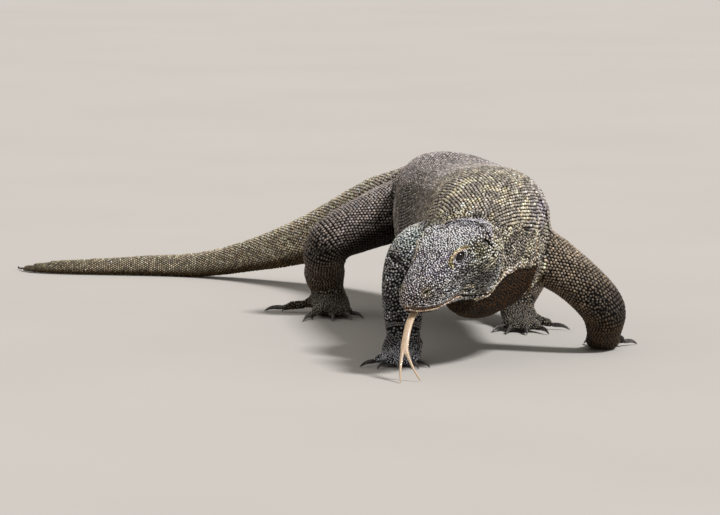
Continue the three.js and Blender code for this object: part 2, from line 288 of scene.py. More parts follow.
FEET = [(-100, -150, 70), (205, 60, 75), (-205, 500, 110), (92, 310, 90)]  # hands, then feet: x, y, reach


def foot_share(points):
    """0 on the body, rising to 1 on the hands and feet."""
    out = np.zeros(len(points))
    for x, y, reach in FEET:
        gap = np.hypot(points[:, 0] - x, points[:, 1] - y)
        out = np.maximum(out, (gap < reach) * np.clip((50 - points[:, 2]) / 16, 0, 1))
    return out


def mirrored(points):
    """Design points in the head's frame, both sides laid on the left one."""
    head = to_head(points)
    head[:, 1] = np.abs(head[:, 1])
    return head


# Lines of the head, in its frame, on the left side: forward, out and up.
MOUTH = [
    (203, 0, -3.5), (198, 5, -5), (193, 9, -7.5), (186, 13, -11), (179, 18, -13.5), (171, 21, -16.5),
    (162, 23, -20), (154, 24, -21.5), (141, 27, -23.5), (132, 30, -24.5), (123, 32, -24.5),
    (116, 34, -26.5), (109, 34, -31), (96, 35, -39), (82, 36, -47), (66, 38, -55), (50, 39, -63),
]
BROW = [
    (116, 33, 21), (116, 31, 25), (112, 30, 29), (105, 31, 33), (96, 33, 36), (87, 37, 36.5), (80, 42, 34),
]
LID_EDGE = [(106, 31, 32), (103, 31.5, 33.5), (98, 35, 34.5), (90, 37.5, 34), (84, 40.5, 32.5)]
EYE_FOLD = [(116, 33, 25), (113, 34, 22), (114, 37, 17), (107, 41, 10), (92, 45, 8), (83, 45, 18)]
EAR = [(46, 51, 28), (42, 52, 20), (37, 54, 10), (38, 55, 5), (42, 56, -2)]
CHEEK = [(131, 36, 0), (115, 40, -1), (99, 44, 0), (84, 48, 0), (67, 53, -1), (54, 55, -5)]
LIP_FOLD = [(106, 35, -22), (92, 39, -29), (80, 41, -34), (62, 44, -40)]
JAW_FOLD = [(111, 34, -28), (98, 35, -35), (87, 36, -41), (76, 38, -46), (67, 41, -48), (51, 39, -57)]
NOSTRIL_FOLD = [(164, 28, 9), (170, 27, 4), (178, 24, 2), (185, 19, 4), (189, 15, 8)]
CANTHUS = [(117, 32, 23), (130, 25, 23), (146, 24, 21), (158, 21, 19), (168, 22, 15)]
NAPE = [(8, 0, 33), (5, 12, 31), (9, 22, 31), (14, 30, 30), (24, 41, 31), (33, 49, 31), (34, 51, 22)]
MUZZLE_BAND = [(104, 42, 5), (124, 38, 4), (140, 34, 2), (158, 30, 0), (172, 27, -1)]

# Folds of the body, in the design frame. The flap is the jaw's and neck's edge over the throat.
FLAP = [
    (8, -216, 103), (17, -207, 104), (27, -194, 106), (35, -188, 114), (42, -180, 123), (49, -170, 130),
    (55, -159, 135), (61, -145, 136), (68, -127, 140), (80, -103, 140), (89, -86, 138), (96, -71, 142),
    (100, -67, 152), (100, -68, 167), (99, -71, 181),
]
FLAP_RIM = FLAP[:11]  # the part that hangs
NECK_GROOVE = [
    (46, -182, 168), (52, -171, 173), (61, -152, 183), (70, -131, 189), (80, -110, 195), (89, -93, 194),
]
FAR_NECK = [(-39, -187, 176), (-31, -178, 189), (-22, -170, 201)]
RIGHT_SHOULDER = [(-96, -30, 178), (-88.6, -19, 188), (-80, -21, 192.5), (-69, -8, 196), (-58, 4, 204)]
RIGHT_ELBOW = [(-120, -92, 158), (-113, -99, 151), (-104, -107, 146), (-95, -114, 139), (-84, -118, 132)]
LEFT_SHOULDER = [
    (100, -24, 244), (107, -21, 230), (117, -15, 207), (123, -3, 176), (115, -31, 149), (107, -45, 128),
]
RIGHT_GROIN = [(-98, 540, 228), (-106, 530, 213), (-109, 488, 193), (-109, 477, 170), (-108, 480, 145)]
LEFT_GROIN = [(74, 560, 228), (80, 520, 213), (84, 484, 193), (82, 466, 170), (80, 462, 145)]
HEAD_FOLDS = (  # line, depth, width, lip, then how dark the painted shade along it is and how widely
    (MOUTH, 2.8, 1.3, -1.2, 0, 1),
    (EAR, 3.4, 1.9, 0.8, 0, 1),
    (CHEEK, 1.6, 1.8, 1.0, 0.6, 2.0),
    (LIP_FOLD, 2.2, 1.5, 1.2, 0.9, 1.8),
    (JAW_FOLD, 2.2, 1.4, 1.2, 0.95, 1.7),
    (NOSTRIL_FOLD, 1.0, 1.1, 0.4, 0.6, 1.4),
    (CANTHUS, 1.6, 2.0, 1.1, 0.55, 2.4),
    (EYE_FOLD, 1.2, 1.5, 0.6, 0.6, 1.5),
    (NAPE, 4.2, 2.8, 1.4, 1.3, 3.3),
)
BODY_FOLDS = (  # line, depth, width, lip
    (FLAP, 4.0, 3.4, 1.8),
    (NECK_GROOVE, 2.6, 3.2, 1.0),
    (FAR_NECK, 2.5, 3.0, 1.0),
    (RIGHT_SHOULDER, 3.4, 3.2, 1.6),
    (RIGHT_ELBOW, 3.0, 3.0, 1.4),
    (LEFT_SHOULDER, 3.0, 3.6, 1.6),
    (RIGHT_GROIN, 3.0, 4.0, 1.6),
    (LEFT_GROIN, 3.0, 4.0, 1.6),
)

# Where the left eye looks, and the ways to the front and the top of its opening. Then the nostril's.
GAZE = unit(np.array([0.38, 0.84, 0.40]))
FRONT = np.array([1.0, 0.0, -0.12])
FRONT = unit(FRONT - GAZE * (FRONT @ GAZE))
BROWWARD = np.cross(FRONT, GAZE)
BROWWARD *= np.sign(BROWWARD[2])
NOSTRIL_LIE, NOSTRIL_UP = np.array([-0.93, 0.33, 0.12]), np.array([0.1, -0.1, 1.0])
ELSEWHERE = 9.0  # the share given to what is far from an opening


def share_out(way, lie, up, half, reach):
    """How far out from an opening's middle: 1 on its edge, and large past the reach."""
    rise = way @ up
    share = np.hypot(way @ lie / half[0], rise / np.where(rise > 0, half[1], half[2]))
    return np.where(lengths(way) < reach, share, ELSEWHERE)


def eye_share(head):
    share = share_out(head - EYE, FRONT, BROWWARD, OPENING, 24)
    return np.where((head - EYE) @ GAZE > -3, share, ELSEWHERE)


def nostril_share(head):
    return share_out(head - NOSTRIL, NOSTRIL_LIE, NOSTRIL_UP, NOSTRIL_SIZE, 13)


middle = verts[tris].mean(axis=1)
head = mirrored(middle)
on_head = (head[:, 0] > 5) & (lengths(head - [100, 0, 0]) < 118)
folded = np.any([near(middle, fold[0], 12, 3.0) for fold in BODY_FOLDS], axis=0)
folded |= near(head, NAPE, 10, 3.0)
verts, tris = refined(verts, tris, on_head | (foot_share(middle) > 0.375) | folded)
verts = smoothed(verts, tris, 2)
head = mirrored(verts[tris].mean(axis=1))
on_face = (head[:, 0] > 60) & (lengths(head - [120, 0, 0]) < 92)
on_face &= head[:, 2] > -64 + 0.2 * head[:, 0]
on_face |= near(head, EAR, 9) | near(head, JAW_FOLD, 10)
verts, tris = refined(verts, tris, on_face)
verts = smoothed(verts, tris, 2)
head = mirrored(verts[tris].mean(axis=1))
fine = (eye_share(head) < 2.7) | (nostril_share(head) < 2.6)
fine |= near(head, MOUTH, 2.2) & (head[:, 0] > 90) | near(head, EAR, 5)
verts, tris = refined(verts, tris, fine)

# ---- folds, lids, lips, nostrils and ears


def on_skin(points):
    """The nearest places on the skin, and their smooth normals."""
    places, faces = np.zeros((len(points), 3)), np.zeros(len(points), int)
    for i, p in enumerate(points.tolist()):
        places[i], _, faces[i], _ = tree.find_nearest(p)
    return places, unit(normals[tris[faces]].sum(axis=1))


def laid(line, place=from_head):
    """A line of the head, or with np.asarray of the body, laid on the skin in the design frame."""
    return on_skin(place(resampled(line)))[0]


def crease(points, line, depth, width, lip):
    """Heights of a groove along a line, with a raised lip on its upper side, or its lower one for a lip below
    0. Both fade out at the line's ends."""
    gap, which = gap_to(points, line, 5 * width)
    ease = np.minimum(1, 0.25 + 5 * np.minimum(which, len(line) - 1 - which) / len(line))
    side = np.sign(points[:, 2] - line[which][:, 2]) * np.sign(lip)
    rise = abs(lip) * bell((side * gap - 2.0 * width) / (1.2 * width)) * (gap < 4.5 * width)
    return ease * (rise - depth * bell(gap / width))


BROW_RIDGE, NOSTRIL_RIM, NOSTRIL_DEPTH = 1.2, 0.5, 3.4
SOCKET = 6.4  # the skin inside the lids' opening, from the eye's centre: under the ball's surface

tree = BVHTree.FromPolygons(verts.tolist(), tris.tolist())
normals = vertex_normals(verts, tris)
head = mirrored(verts)
rise = np.zeros(len(verts))
for line, depth, width, lip, *_ in HEAD_FOLDS:
    rise += crease(head, to_head(laid(line)), depth, width, lip)
rise += BROW_RIDGE * bell(gap_to(head, to_head(laid(BROW)), 12)[0] / 2.6)
hole = nostril_share(head)
rise += NOSTRIL_RIM * bell((hole - 1.5) / 0.35)
rise -= NOSTRIL_DEPTH * (1 - eased(hole, 0.35, 1.15))
for line, depth, width, lip in BODY_FOLDS:
    if line is FLAP:  # its groove runs under the edge
        line = np.asarray(line) - [0, 0, 5]
    rise += crease(verts, laid(line, np.asarray), depth, width, lip)
eye = eye_share(head)
rise[eye < 2.4] *= 0.4
verts = verts + normals * (rise - INSET - GROW)[:, None]

# The lids lie close round the ball, and the skin inside their opening goes in behind its surface.
for side in (1, -1):
    ball = from_head([EYE * [1, side, 1]])[0]
    local = to_head(verts) * [1, side, 1]
    share = eye_share(local)
    v = verts - ball
    far = lengths(v)
    wrinkle = 0.38 * np.cos(share * 15) * eased(share, 1.25, 1.5) * (1 - eased(share, 1.9, 2.5))
    down = (local - EYE) @ BROWWARD < 1
    lid = LID_RADIUS + 0.5 * bell((share - 1.22) / 0.16) + wrinkle * down
    lid += (far - lid) * eased(share, 1.35, 2.4)
    inside = SOCKET + (lid - SOCKET) * eased(share, 0.93, 1.17)
    here = share < 2.4
    verts[here] = ball + v[here] * (inside / np.maximum(far, 1e-6))[here, None]

verts = smoothed(verts, tris, 1)
verts[:, 2] = np.maximum(verts[:, 2], 0)

# ---- centrelines

# Rows down the spine and the limbs: x, y, z, then half width, height above and depth below.
SPINE = [
    (-22, -226, 152, 32, 16, 76), (-8, -188, 164, 46, 30, 96), (5, -142, 172, 58, 50, 108),
    (16, -92, 174, 70, 74, 108), (27, -40, 174, 84, 93, 104), (31, 30, 172, 96, 104, 96),
    (18, 130, 172, 98, 98, 94), (4, 250, 172, 106, 92, 97), (-6, 370, 171, 103, 91, 93),
    (-17, 470, 169, 90, 92, 78), (-28, 560, 166, 78, 90, 66), (-42, 640, 162, 62, 80, 60),
    (-74, 724, 154, 53, 65, 55), (-124, 812, 139, 46, 57, 51), (-190, 892, 107, 39, 45, 44),
    (-262, 958, 72, 32, 37, 38), (-345, 1032, 43, 25, 26, 28), (-431, 1085, 22, 19.5, 20.5, 22),
    (-510, 1108, 18, 16, 18.5, 18.4), (-601, 1122, 14.8, 13, 14.5, 15.2),
    (-672, 1136, 12.4, 10.8, 12.5, 12.8), (-716, 1156, 9, 7.6, 8.6, 9.4),
    (-738, 1184, 5.6, 4.6, 5, 6), (-748, 1214, 3.4, 2.4, 2.4, 3.8),
]
RIGHT_ARM = [
    (-12, 32, 158, 44, 40, 46), (-54, 4, 160, 42, 38, 46), (-80, -40, 154, 36, 34, 40),
    (-93, -78, 136, 33, 33, 34), (-97, -94, 106, 32, 32, 32), (-97, -104, 76, 30, 28, 28),
    (-96, -112, 48, 28, 23, 23), (-98, -130, 24, 32, 20, 22), (-106, -196, 10, 30, 12, 10),
]
LEFT_ARM = [
    (56, 32, 160, 46, 46, 46), (104, 20, 146, 42, 44, 44), (150, 4, 119, 36, 37, 38),
    (184, -8, 90, 35, 35, 36), (203, -8, 64, 34.5, 34, 34), (205, 0, 44, 30, 29, 29),
    (204, 12, 28, 28, 22, 22), (205, 40, 18, 30, 18, 18), (208, 100, 10, 30, 12, 10),
]
RIGHT_LEG = [
    (-40, 570, 170, 54, 64, 60), (-92, 540, 165, 48, 57, 56), (-150, 506, 147, 42, 46, 48),
    (-208, 486, 118, 37, 38, 38), (-217, 502, 86, 34, 35, 36), (-215, 525, 58, 33, 31, 32),
    (-211, 542, 40, 30, 25, 26), (-207, 510, 22, 32, 20, 20), (-204, 430, 10, 32, 12, 10),
]
LEFT_LEG = [
    (0, 574, 168, 54, 62, 60), (48, 542, 162, 48, 55, 56), (92, 490, 146, 42, 45, 46),
    (114, 436, 118, 36, 36, 37), (110, 400, 88, 32, 33, 34), (97, 370, 60, 28, 27, 28),
    (87, 350, 42, 26, 22, 23), (89, 324, 24, 30, 20, 20), (94, 240, 10, 30, 12, 10),
]
SKULL = [
    (2, 0, 0, 52, 32, 60), (30, 0, 0, 59, 36, 70), (62, 0, 0, 56, 38, 67), (98, 0, 0, 45, 37, 51),
    (136, 0, 0, 36, 29, 38), (162, 0, 0, 31, 24, 32), (180, 0, 0, 25, 19, 24), (190, 0, -1, 18, 14, 15),
]


class Tube:
    """A smooth centreline through its rows, with its sizes and its own up and side, in even steps."""

    STEP = 2.0

    def __init__(self, rows, towards):
        rows = np.array(rows, float)
        ends = np.vstack([2 * rows[0] - rows[1], rows, 2 * rows[-1] - rows[-2]])
        t = np.linspace(0, 1, 16, endpoint=False)[:, None]
        fine = []
        for a, b, c, d in zip(ends, ends[1:], ends[2:], ends[3:]):
            fine.append(b + t * (c - a + t * (2 * a - 5 * b + 4 * c - d + t * (3 * b - a - 3 * c + d))) / 2)
        fine = np.vstack([*fine, rows[-1:]])
        run = run_along(fine[:, :3])
        self.length = run[-1]
        self.reach = np.arange(0, self.length, self.STEP)
        even = between(self.reach, run, fine)
        self.points, self.sizes = even[:, :3], even[:, 3:]
        self.along = unit(np.gradient(self.points, axis=0))
        self.side = unit(np.cross(self.along, towards))
        self.top = np.cross(self.side, self.along)
        self.mean = self.sizes.mean(axis=1)

    def nearest(self, points, every=5):
        """For each point: the nearest step, and its distance as a share of the tube's size there."""
        best, step = np.zeros(len(points)), np.zeros(len(points), int)
        line, mean = self.points[::every], self.mean[::every]
        for i in range(0, len(points), BLOCK):
            block = points[i : i + BLOCK]
            gap = (block**2).sum(axis=1)[:, None] + (line**2).sum(axis=1) - 2 * block @ line.T
            gap = np.maximum(gap, 0) / mean**2
            step[i : i + BLOCK] = gap.argmin(axis=1)
            best[i : i + BLOCK] = gap.min(axis=1)
        return np.minimum(step * every, len(self.points) - 1), np.sqrt(best)


FORWARD = (0, -0.7, 0.7)
TUBES = {
    "body": Tube(SPINE, (0, 0, 1)),
    "head": Tube([(*from_head(r[:3]), *r[3:]) for r in SKULL], HEAD_TURN[:, 2]),
    "right_arm": Tube(RIGHT_ARM, FORWARD),
    "left_arm": Tube(LEFT_ARM, FORWARD),
    "right_leg": Tube(RIGHT_LEG, FORWARD),
    "left_leg": Tube(LEFT_LEG, FORWARD),
}
NAMES = list(TUBES)

# The lower edge of the jaw in the head's frame: x, then z.
JAW_EDGE = [
    (-20, -67), (13, -69), (38, -71), (57, -64), (75, -54), (90, -48), (111, -38), (150, -32), (200, -20),
]


def owners(points):
    """Which tube each point is on, and its nearest step along it. The cheeks are the head's."""
    found = [TUBES[name].nearest(points) for name in NAMES]
    share = np.stack([f[1] for f in found])
    head = mirrored(points)
    cheek = (head[:, 0] > 26) & (head[:, 0] < 215) & (head[:, 1] < 66) & (head[:, 2] < 55)
    cheek &= head[:, 2] > np.interp(head[:, 0], *np.transpose(JAW_EDGE))
    share[1, cheek] = 0
    owner = share.argmin(axis=0)
    return owner, np.stack([f[0] for f in found])[owner, np.arange(len(points))]


# ---- where the scales stand

tree = BVHTree.FromPolygons(verts.tolist(), tris.tolist())
normals = vertex_normals(verts, tris)
AROUND = 72  # rays round a tube


def rows_round(name, start, end):
    """Rows of places round a tube, counted out from the middle of its top: point, lie, width, depth."""
    tube = TUBES[name]
    angles = np.linspace(-np.pi, np.pi, AROUND + 1)
    cos, sin = np.cos(angles), np.sin(angles)
    rings, others = [], []
    reach = start * tube.length
    while reach < end * tube.length:
        fields = (tube.points, tube.top, tube.side, tube.along, tube.sizes)
        centre, top, side, lie, (w, above, below) = (between(reach, tube.reach, f) for f in fields)
        wide, deep = room_at(name, reach / tube.length, np.interp(reach, tube.reach, tube.mean))
        ways = cos[:, None] * top + sin[:, None] * side
        far = np.hypot(sin * w, cos * np.where(cos > 0, above, below)) * 1.3 + 6
        ring, found = centre + ways * far[:, None], np.zeros(AROUND + 1)
        for j in range(AROUND + 1):
            hit = tree.ray_cast(centre, ways[j], far[j])[0]
            if hit is not None:
                ring[j], found[j] = hit, 1
        rings.append(ring)
        others.append((found, (*lie, wide)))
        reach += deep
    rings = np.array(rings)
    depth = lengths(np.gradient(rings, axis=0))
    out = []
    for row, (ring, (found, same), deep) in enumerate(zip(rings, others, depth)):
        run = run_along(ring)
        run -= run[AROUND // 2]
        wide = same[3]
        at = (np.arange(int(run[0] / wide), int(run[-1] / wide)) + 0.5 * (row % 2)) * wide
        same = np.tile(same, (len(at), 1))
        places = np.column_stack([between(at, run, ring), same, np.interp(at, run, deep)])
        out.append(places[np.interp(at, run, found) > 0.99])
    out = np.vstack(out)
    return out[owners(out[:, :3])[0] == NAMES.index(name)]


class Grid:
    """Points kept in cells, to find what is already near a place."""

    def __init__(self, cell):
        self.cell, self.cells = cell, {}

    def key(self, p):
        return int(p[0] // self.cell), int(p[1] // self.cell), int(p[2] // self.cell)

    def add(self, p):
        self.cells.setdefault(self.key(p), []).append(p)

    def clear(self, p, gap):
        """True where nothing is nearer than the gap."""
        x, y, z = self.key(p)
        for i in (x - 1, x, x + 1):
            for j in (y - 1, y, y + 1):
                for k in (z - 1, z, z + 1):
                    for q in self.cells.get((i, j, k), ()):
                        if (p[0] - q[0]) ** 2 + (p[1] - q[1]) ** 2 + (p[2] - q[2]) ** 2 < gap * gap:
                            return False
        return True


def spread(grid, pitches, tries):
    """Random places in the gaps that are left, as close as the pitch at each vertex lets them stand."""
    middle, pitch = verts[tris].mean(axis=1), pitches[tris].mean(axis=1)
    area = lengths(face_normals(verts, tris)) / 2
    free = np.array([grid.clear(p, g) for p, g in zip(middle.tolist(), (pitch * 0.62).tolist())])
    want = area / pitch**2 * tries * free
    pick = rng.choice(len(tris), int(want.sum()), p=want / want.sum())
    a, b = rng.random((2, len(pick)))
    flip = a + b > 1
    a[flip], b[flip] = 1 - a[flip], 1 - b[flip]
    first, second, third = (verts[tris[pick, k]] for k in range(3))
    points = first + a[:, None] * (second - first) + b[:, None] * (third - first)
    out = []
    for p, gap in zip(points.tolist(), pitch[pick].tolist()):
        if grid.clear(p, gap * 0.84):
            grid.add(p)
            out.append((*p, gap))
    return np.array(out)


def unordered(points):
    """True on the nape, the neck's sides and the front of the right shoulder, where no rows run."""
    head = mirrored(points)
    nape = head[:, 0] > -36
    side = (points[:, 0] > 34) & (points[:, 2] < 196 + 8 * np.sin(points[:, 0] / 9))
    shoulder = lengths((points - [-82, -52, 182]) / [34, 44, 20]) < 1
    return (points[:, 1] < -40) & (points[:, 2] > 60) & (nape | side | shoulder)


def pitch_at(points, owner, step):
    """How far apart the irregular scales stand."""
    head = mirrored(points)
    snout = np.clip((head[:, 0] - 30) / 130, 0, 1)
    eye = lengths(head - EYE)
    behind = np.clip((34 - head[:, 0]) / 16, 0, 1) * (head[:, 2] > 12)
    small = 3.9 - 0.9 * behind - 0.7 * snout - 1.3 * bell(eye / 13)
    thick = np.array([TUBES[NAMES[o]].mean[s] for o, s in zip(owner, step)])
    body = np.clip(thick * 0.24, 2.0, 5.0) * (1 - 0.28 * foot_share(points))
    trunk = (owner == 0) & (points[:, 1] > 0) & (points[:, 1] < 560)
    return np.select([owner == 1, unordered(points), trunk], [small, 4.2, 7.6], body)


# Width and depth of the room for one scale, along each part by share of its length.
ROOM = {
    "body": [
        (0, 5.0, 4.4), (0.1, 5.6, 4.9), (0.2, 5.2, 6.0), (0.26, 4.9, 11.6), (0.43, 4.9, 11.6),
        (0.6, 5.4, 4.8), (1, 2.6, 2.4),
    ],
    "right_arm": [(0, 4.8, 4.2), (0.35, 3.9, 3.4), (1, 3.4, 3.0)],
    "left_arm": [(0, 5.2, 4.5), (0.5, 5.1, 4.4), (0.75, 4.0, 3.5), (1, 3.7, 3.2)],
    "right_leg": [(0, 4.8, 4.2), (0.4, 4.9, 4.3), (0.7, 4.2, 3.7), (1, 3.8, 3.4)],
}
ROOM["left_leg"] = ROOM["right_leg"]


def room_at(name, share, thick):
    """Width and depth of the room for a scale at a share of a part's length, less where the part is thin."""
    rows = np.array(ROOM[name])
    most = thick * (0.24 if name == "body" else 1.0)
    return np.minimum(most, between(share, rows[:, 0], rows[:, 1:]))


mouth, ear_slit = (to_head(laid(line)) for line in (MOUTH, EAR))


def bare(points):
    """True in the mouth's line, the eye's opening, the nostril and the ear, where no scale stands."""
    head = mirrored(points)
    out = (eye_share(head) < 1.16) | (nostril_share(head) < 1.05)
    out |= gap_to(head, mouth, 4)[0] < 1.3
    return out | (gap_to(head, ear_slit, 5)[0] < 1.8)


def strung(line, wide, deep, closed=False):
    """Scales at a line's points on the head, on both sides, lying along it: point, lie, width, depth."""
    out = []
    for side in (1, -1):
        points = from_head(line * [1, side, 1])
        way = np.roll(points, -1, axis=0) - points if closed else np.gradient(points, axis=0)
        sizes = np.full((len(points), 2), (wide, deep))
        out.append(np.column_stack([on_skin(points)[0], unit(way), sizes]))
    return np.vstack(out)


def chain(line, pitch, wide, deep, start=0.0):
    """A row of scales along a line of the head. With start 0.5 they stand between those of start 0."""
    even = resampled(line, pitch)
    return strung(even[:-1] + start * np.diff(even, axis=0), wide, deep)


def lifted(line, up, out=0.0):
    """A line moved up (and out) on the head."""
    return np.asarray(line, float) + [0, out, up]


def ring(opening, share, pitch, size):
    """A ring of scales round an opening, at a share of its size."""
    middle, lie, up, half, mean = opening
    angles = np.linspace(0, 2 * np.pi, int(2 * np.pi * share * mean / pitch), endpoint=False)
    cos, sin = np.cos(angles)[:, None] * half[0], np.sin(angles)[:, None]
    sin = sin * np.where(sin > 0, half[1], half[2])
    return strung(middle + share * (cos * lie + sin * up), size, size, closed=True)


# Middle, directions, sizes and mean radius of the lids' opening and of the nostril.
LIDS = (EYE + GAZE * 7, FRONT, BROWWARD, OPENING, 6)
NOSTRIL_HOLE = (NOSTRIL, NOSTRIL_LIE, NOSTRIL_UP, NOSTRIL_SIZE, 3.6)

vertex_owner, vertex_step = owners(verts)
pitches = pitch_at(verts, vertex_owner, vertex_step)
chains = [
    chain(lifted(MOUTH[:12], 3.1), 3.4, 3.6, 3.4),
    chain(lifted(MOUTH[:13], -3.0), 3.6, 3.6, 3.6),
    chain(lifted(MOUTH[1:12], 6.8), 3.2, 3.4, 3.2, 0.5),
    chain(lifted(MOUTH[1:12], -6.6), 3.8, 3.4, 3.8, 0.5),
    chain(BROW, 3.3, 3.6, 3.3),
    chain(lifted(BROW, 2.4, -1.6), 3.3, 3.4, 3.2, 0.5),
    chain(LID_EDGE, 2.4, 2.4, 2.4),
    ring(LIDS, 1.22, 1.7, 1.8),
    ring(LIDS, 1.52, 2.0, 2.1),
    ring(LIDS, 1.88, 2.4, 2.5),
    ring(NOSTRIL_HOLE, 1.35, 2.0, 2.1),
    ring(NOSTRIL_HOLE, 2.1, 2.5, 2.6),
]
sets = [rows_round("body", 0.02, 0.995)] + [rows_round(name, 0.0, 0.72) for name in NAMES[2:]]
sets = [rows[~unordered(rows[:, :3])] for rows in sets]
ringed = np.vstack(chains + sets)
grid = Grid(6.0)
kept = []
for row, hidden in zip(ringed.tolist(), bare(ringed[:, :3])):
    if not hidden and grid.clear(row[:3], 0.66 * min(row[6], row[7])):
        grid.add(row[:3])
        kept.append(row)
ringed = np.array(kept)
loose = spread(grid, pitches, 16)
loose = loose[~bare(loose[:, :3])]

roots = np.vstack([ringed[:, :3], loose[:, :3]])
ordered = np.arange(len(roots)) < len(ringed)
owner, step = owners(roots)
lies = np.array([TUBES[NAMES[o]].along[at] for o, at in zip(owner, step)])
lies[owner == 1] *= -1  # the head's scales lie backwards
lies[ordered & (owner == 1)] = ringed[owner[ordered] == 1, 3:6]
swing = rng.normal(0, 0.28, len(roots)) * ~ordered
row_wide = ringed[:, 6] * rng.uniform(0.86, 1.08, len(ringed))
wide = np.concatenate([row_wide, loose[:, 3] * rng.uniform(0.9, 1.12, len(loose))])
deep = np.concatenate([np.minimum(ringed[:, 7] * 1.16, ringed[:, 6] * 1.34), loose[:, 3]])
roots[ordered] += rng.normal(0, 0.07, (len(ringed), 3)) * ringed[:, 6:7] * (ringed[:, 7:8] > 3.7)
roots, ups = on_skin(roots)
seen = ~((roots[:, 2] < 1.5) & (ups[:, 2] < -0.7))  # no scales under the soles
roots, ups, owner, step, lies, wide, deep, swing, ordered = (
    v[seen] for v in (roots, ups, owner, step, lies, wide, deep, swing, ordered)
)

# ---- markings


def tone(colours):
    """sRGB colours, 0 to 255, as linear ones."""
    c = np.array(colours) / 255
    return np.where(c <= 0.04045, c / 12.92, ((c + 0.055) / 1.055) ** 2.4)


# Along each part, by share of its length: the scales' colour and the skin's between them. The skin's dark
# colour is partly its own tone and partly painted shade between the scales.
RAMPS = {
    "body": [
        (0, (170, 160, 147), (20, 16, 12)), (0.13, (174, 164, 151), (20, 16, 12)),
        (0.20, (146, 137, 130), (22, 18, 14)), (0.34, (150, 141, 136), (24, 20, 17)),
        (0.45, (180, 168, 166), (38, 32, 29)), (0.60, (234, 219, 194), (64, 54, 42)),
        (1, (152, 140, 116), (38, 32, 23)),
    ],
    "head": [
        (0, (252, 250, 242), (40, 37, 34)), (0.35, (252, 251, 247), (42, 40, 39)),
        (0.65, (212, 208, 208), (28, 26, 27)), (1, (182, 171, 168), (24, 20, 20)),
    ],
    "right_arm": [
        (0, (246, 238, 228), (24, 20, 17)), (0.42, (146, 143, 142), (10, 10, 10)),
        (0.8, (134, 132, 131), (14, 14, 14)), (1, (212, 214, 224), (36, 36, 40)),
    ],
    "left_arm": [
        (0, (172, 157, 137), (22, 16, 10)), (0.35, (158, 142, 124), (16, 12, 8)),
        (0.6, (59, 51, 45), (8, 6, 5)), (1, (52, 46, 42), (11, 10, 10)),
    ],
    "right_leg": [
        (0, (180, 170, 164), (28, 24, 21)), (0.4, (162, 150, 144), (22, 19, 17)),
        (0.62, (112, 99, 87), (18, 16, 13)), (1, (122, 116, 106), (24, 22, 20)),
    ],
}
RAMPS["left_leg"] = RAMPS["right_leg"]
# The undersides' dull ochre, darkened as painted shade.
BELLY_AND_SHADOW = tone([(84, 64, 36), (26, 19, 10)])
# The throat's brown, darkened as painted shade under the neck's flap and the jaw.
THROAT_AND_SHADOW = tone([(54, 31, 3), (16, 9, 1)])
# Painted shade for the legs' undersides.
UNDERSIDE_SHADOW = tone([(52, 42, 33), (9, 7, 5)])
CREAM = tone([(240, 228, 196), (60, 48, 30)])
OCHRE = tone([(216, 202, 142), (100, 80, 38)])
TEMPLE = tone([(176, 170, 138), (30, 28, 20)])
LILAC = tone([(202, 189, 206), (60, 52, 62)])
TEAL = tone([(240, 250, 242), (28, 38, 36)])
PINK = tone([(242, 216, 192), (152, 118, 96)])
SLATE = tone([(96, 93, 88), (14, 13, 13)])
# Pale rims along folds: partly the skin's paler edges, partly painted highlight where the edges catch the
# light.
RIM_AND_HIGHLIGHT = tone([(255, 240, 214), (120, 98, 76)])
MAUVE = tone([(168, 160, 176), (34, 30, 36)])
# Painted top light: paler where the back faces up.
PAINTED_TOP_LIGHT = tone([(216, 206, 204), (64, 58, 55)])
# Painted shade: the dark laid into folds, creases, the mouth's line, the nostrils, the ears and the eyes'
# openings.
CREASE_SHADOW = tone([(26, 19, 14), (10, 7, 5)])


def near_line(points, line, width):
    """1 on a line, fading over a width."""
    return bell(gap_to(points, line, 3 * width)[0] / width)


def spot(points, place, size):
    """1 at a place, fading over a size."""
    return np.exp(-((((points - place) / size) ** 2).sum(axis=1)))


def patches(points, size, seed):
    """Soft, uneven patches, from 0 to 1."""
    wave = np.random.default_rng(seed)
    total = np.zeros(len(points))
    for turns in (1.0, 2.1, 4.3):
        for _ in range(4):
            way = wave.normal(0, 1, 3)
            way *= turns / size / np.linalg.norm(way) * 2 * np.pi
            total += np.sin(points @ way + wave.uniform(0, 2 * np.pi)) / turns
    return np.clip(0.5 + total / 6, 0, 1)


